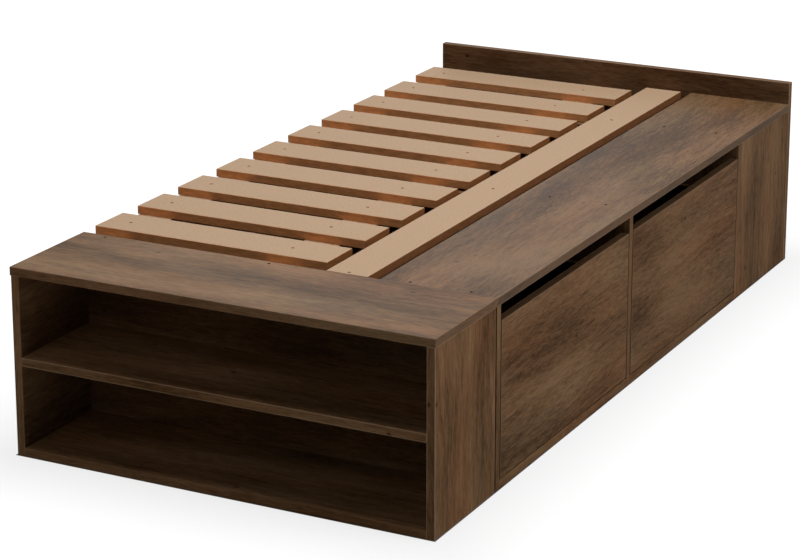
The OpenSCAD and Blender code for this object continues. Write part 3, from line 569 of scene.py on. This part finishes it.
class BED_OT_fittings(bpy.types.Operator):
    """Finish the screws, cam locks, brackets, runners and rollers"""

    bl_idname = "bed.fittings"
    bl_label = "Fittings"

    def execute(self, context):
        # Barrel plating leaves a cool grey with a soft, slightly uneven shine.
        zinc = fitting("zinc_plated_steel", "#b9bbbc", rough=0.35, grit=0.0015)
        # Zinc as it leaves the mould is duller and warmer than plate.
        cast = fitting("die_cast_zinc", "#a9a9a6", rough=0.45, grit=0.001)
        # Powder, sprayed on and baked, flows into an even half-gloss white.
        white = fitting("white_epoxy_coated_steel", "#d9d9d6", rough=0.4, grit=0.002, metallic=0.0)
        # Moulded nylon is a warmer white, a little duller than the coat.
        nylon = fitting("moulded_white_nylon", "#e8e6e0", rough=0.45, grit=0.003, metallic=0.0)
        dress("deck_screws", screw_steel())
        for node in ("support_screws", "pan_screws", "joining_screws", "rail_brackets", "cam_bolts"):
            dress(node, zinc)
        dress("cam_locks", cast)
        for drawer in ("foot", "head"):
            dress(drawer + "_drawer_fasteners", zinc)
            for side in ("left", "right"):
                dress("runner_%s_%s" % (drawer, side), white)
                dress("%s_drawer_%s_slide" % (drawer, side), white)
            dress(drawer + "_fixed_rollers", nylon)
            dress(drawer + "_moving_rollers", nylon)
        return {"FINISHED"}


# ------------------------------------------------------------------ stage


def seen_rays(tree):
    """1 for the rays by which the stage is seen: from the camera, in a reflection or through glass."""
    path = add(tree, "LightPath").outputs
    seen = {0: path["Is Camera Ray"], 1: path["Is Glossy Ray"]}
    seen = add(tree, "Math", seen, operation="MAXIMUM").outputs[0]
    return add(tree, "Math", {0: seen, 1: path["Is Transmission Ray"]}, operation="MAXIMUM").outputs[0]


def studio_paper():
    """Paper that is seen white, with a painted shadow that greys it by the bed, keeps its real shadow
    and bounces soft light.
    """
    material = bpy.data.materials.new("studio_paper")
    material.use_nodes = True
    tree = material.node_tree
    tree.nodes.clear()
    # The paper's white is only seen: it isn't a lamp.
    material.cycles.emission_sampling = "NONE"
    seen = seen_rays(tree)
    spot = add(tree, "SeparateXYZ", {0: add(tree, "TexCoord").outputs["Object"]})
    away = []
    for i in (0, 1):
        off = add(tree, "Math", {0: spot.outputs[i]}, operation="ABSOLUTE").outputs[0]
        away.append(add(tree, "Math", {0: off, 1: cad_box[1][i]}, operation="SUBTRACT").outputs[0])
    out = add(tree, "Math", {0: away[0], 1: away[1]}, operation="MAXIMUM").outputs[0]
    # The glow is dimmed near the bed: a painted shadow around it.
    glow = add(tree, "MapRange", {0: out, 1: 0.0, 2: GLOW_REACH, 3: GLOW_NEAR, 4: 1.0}).outputs[0]
    # Under the bed, where no light would reach, it has no white of its own.
    outside = add(tree, "Math", {0: out, 1: 0.0}, operation="GREATER_THAN").outputs[0]
    glow = add(tree, "Math", {0: glow, 1: outside}, operation="MULTIPLY").outputs[0]
    glow = add(tree, "Math", {0: glow, 1: seen}, operation="MULTIPLY").outputs[0]
    level = add(tree, "Mix", {0: seen, 2: FLOOR_BOUNCE, 3: FLOOR_SHADE}, data_type="FLOAT").outputs[0]
    tone = add(tree, "CombineXYZ", {0: level, 1: level, 2: level}).outputs[0]
    matt = add(tree, "BsdfDiffuse", {"Color": tone})
    white = add(tree, "Emission", {"Color": WHITE, "Strength": glow})
    both = add(tree, "AddShader", {0: matt.outputs[0], 1: white.outputs[0]})
    add(tree, "OutputMaterial", {"Surface": both.outputs[0]})
    return material


def studio_floor(scene):
    """Square paper floor, just under the bed."""
    reach = scene.bed_sizes.floor_reach
    corners = [(-reach, -reach, 0), (reach, -reach, 0), (reach, reach, 0), (-reach, reach, 0)]
    mesh = bpy.data.meshes.new("studio_floor")
    mesh.from_pydata(corners, [], [(0, 1, 2, 3)])
    mesh.materials.append(studio_paper())
    floor = bpy.data.objects.new("studio_floor", mesh)
    scene.collection.objects.link(floor)
    floor.location.z = -FLOOR_DROP


def studio_air(scene):
    """World that is white where it is seen, and lights nothing."""
    world = bpy.data.worlds.new("studio_air")
    world.use_nodes = True
    scene.world = world
    tree = world.node_tree
    tree.nodes.clear()
    sky = add(tree, "Background", {"Color": WHITE, "Strength": seen_rays(tree)})
    add(tree, "OutputWorld", {"Surface": sky.outputs[0]})


def softbox(scene, name, place, target, size, power):
    """Square soft lamp at a place, turned to a target."""
    data = bpy.data.lights.new(name, "AREA")
    data.size = size
    data.energy = power
    lamp = bpy.data.objects.new(name, data)
    scene.collection.objects.link(lamp)
    lamp.location = place
    lamp.rotation_euler = (Vector(target) - Vector(place)).to_track_quat("-Z", "Y").to_euler()


def studio_camera(scene):
    """Camera at the photograph's angle, with the shift that its framing needs."""
    data = bpy.data.cameras.new("camera")
    data.sensor_width = SENSOR_WIDTH
    data.lens = scene.bed_sizes.lens
    data.clip_end = SIGHT_REACH
    data.shift_x, data.shift_y = LENS_SHIFT
    camera = bpy.data.objects.new("camera", data)
    scene.collection.objects.link(camera)
    turn, lift, roll = CAMERA_TURN, CAMERA_LIFT, CAMERA_ROLL
    back = Vector((math.sin(turn) * math.cos(lift), -math.cos(turn) * math.cos(lift), math.sin(lift)))
    right = Vector((0, 0, 1)).cross(back).normalized()
    up = back.cross(right)
    rolled_right = math.cos(roll) * right + math.sin(roll) * up
    rolled_up = -math.sin(roll) * right + math.cos(roll) * up
    view = Matrix((rolled_right, rolled_up, back)).transposed().to_4x4()
    view.translation = Vector(CAMERA_PLACE)
    camera.matrix_world = view
    scene.camera = camera


class BED_OT_stage(bpy.types.Operator):
    """Set the pale floor, the studio lights and the camera"""

    bl_idname = "bed.stage"
    bl_label = "Stage"

    def execute(self, context):
        scene = context.scene
        studio_floor(scene)
        studio_air(scene)
        for lamp in LAMPS:
            softbox(scene, *lamp)
        studio_camera(scene)
        scene.view_settings.view_transform = "Standard"
        return {"FINISHED"}


# ------------------------------------------------------------------ panel and registration


class BED_PT_tools(bpy.types.Panel):
    """Buttons for the bed's finishes and stage"""

    bl_idname = "BED_PT_tools"
    bl_label = "Platform bed"
    bl_space_type = "VIEW_3D"
    bl_region_type = "UI"
    bl_category = "Bed"

    def draw(self, context):
        for step in STEPS:
            self.layout.operator(step.bl_idname)
        for name in ("floor_reach", "lens"):
            self.layout.prop(context.scene.bed_sizes, name)
        for name in ("oak_dark", "oak_mid", "oak_light", "slat_face", "slat_edge", "slat_end_with_shade"):
            self.layout.prop(context.scene.bed_colours, name)


STEPS = (BED_OT_bookcase, BED_OT_chest, BED_OT_drawers, BED_OT_slats, BED_OT_fittings, BED_OT_stage)
CLASSES = (BedSizes, BedColours) + STEPS + (BED_PT_tools,)


def register():
    """Make the settings, operators and panel known to Blender."""
    for kind in CLASSES:
        bpy.utils.register_class(kind)
    bpy.types.Scene.bed_sizes = PointerProperty(type=BedSizes)
    bpy.types.Scene.bed_colours = PointerProperty(type=BedColours)


def unregister():
    """Take the settings, operators and panel out of Blender again."""
    del bpy.types.Scene.bed_colours
    del bpy.types.Scene.bed_sizes
    for kind in reversed(CLASSES):
        bpy.utils.unregister_class(kind)


def main():
    """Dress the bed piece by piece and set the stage."""
    register()
    bpy.ops.bed.bookcase()
    bpy.ops.bed.chest()
    bpy.ops.bed.drawers()
    bpy.ops.bed.slats()
    bpy.ops.bed.fittings()
    bpy.ops.bed.stage()


if __name__ == "__main__":
    main()
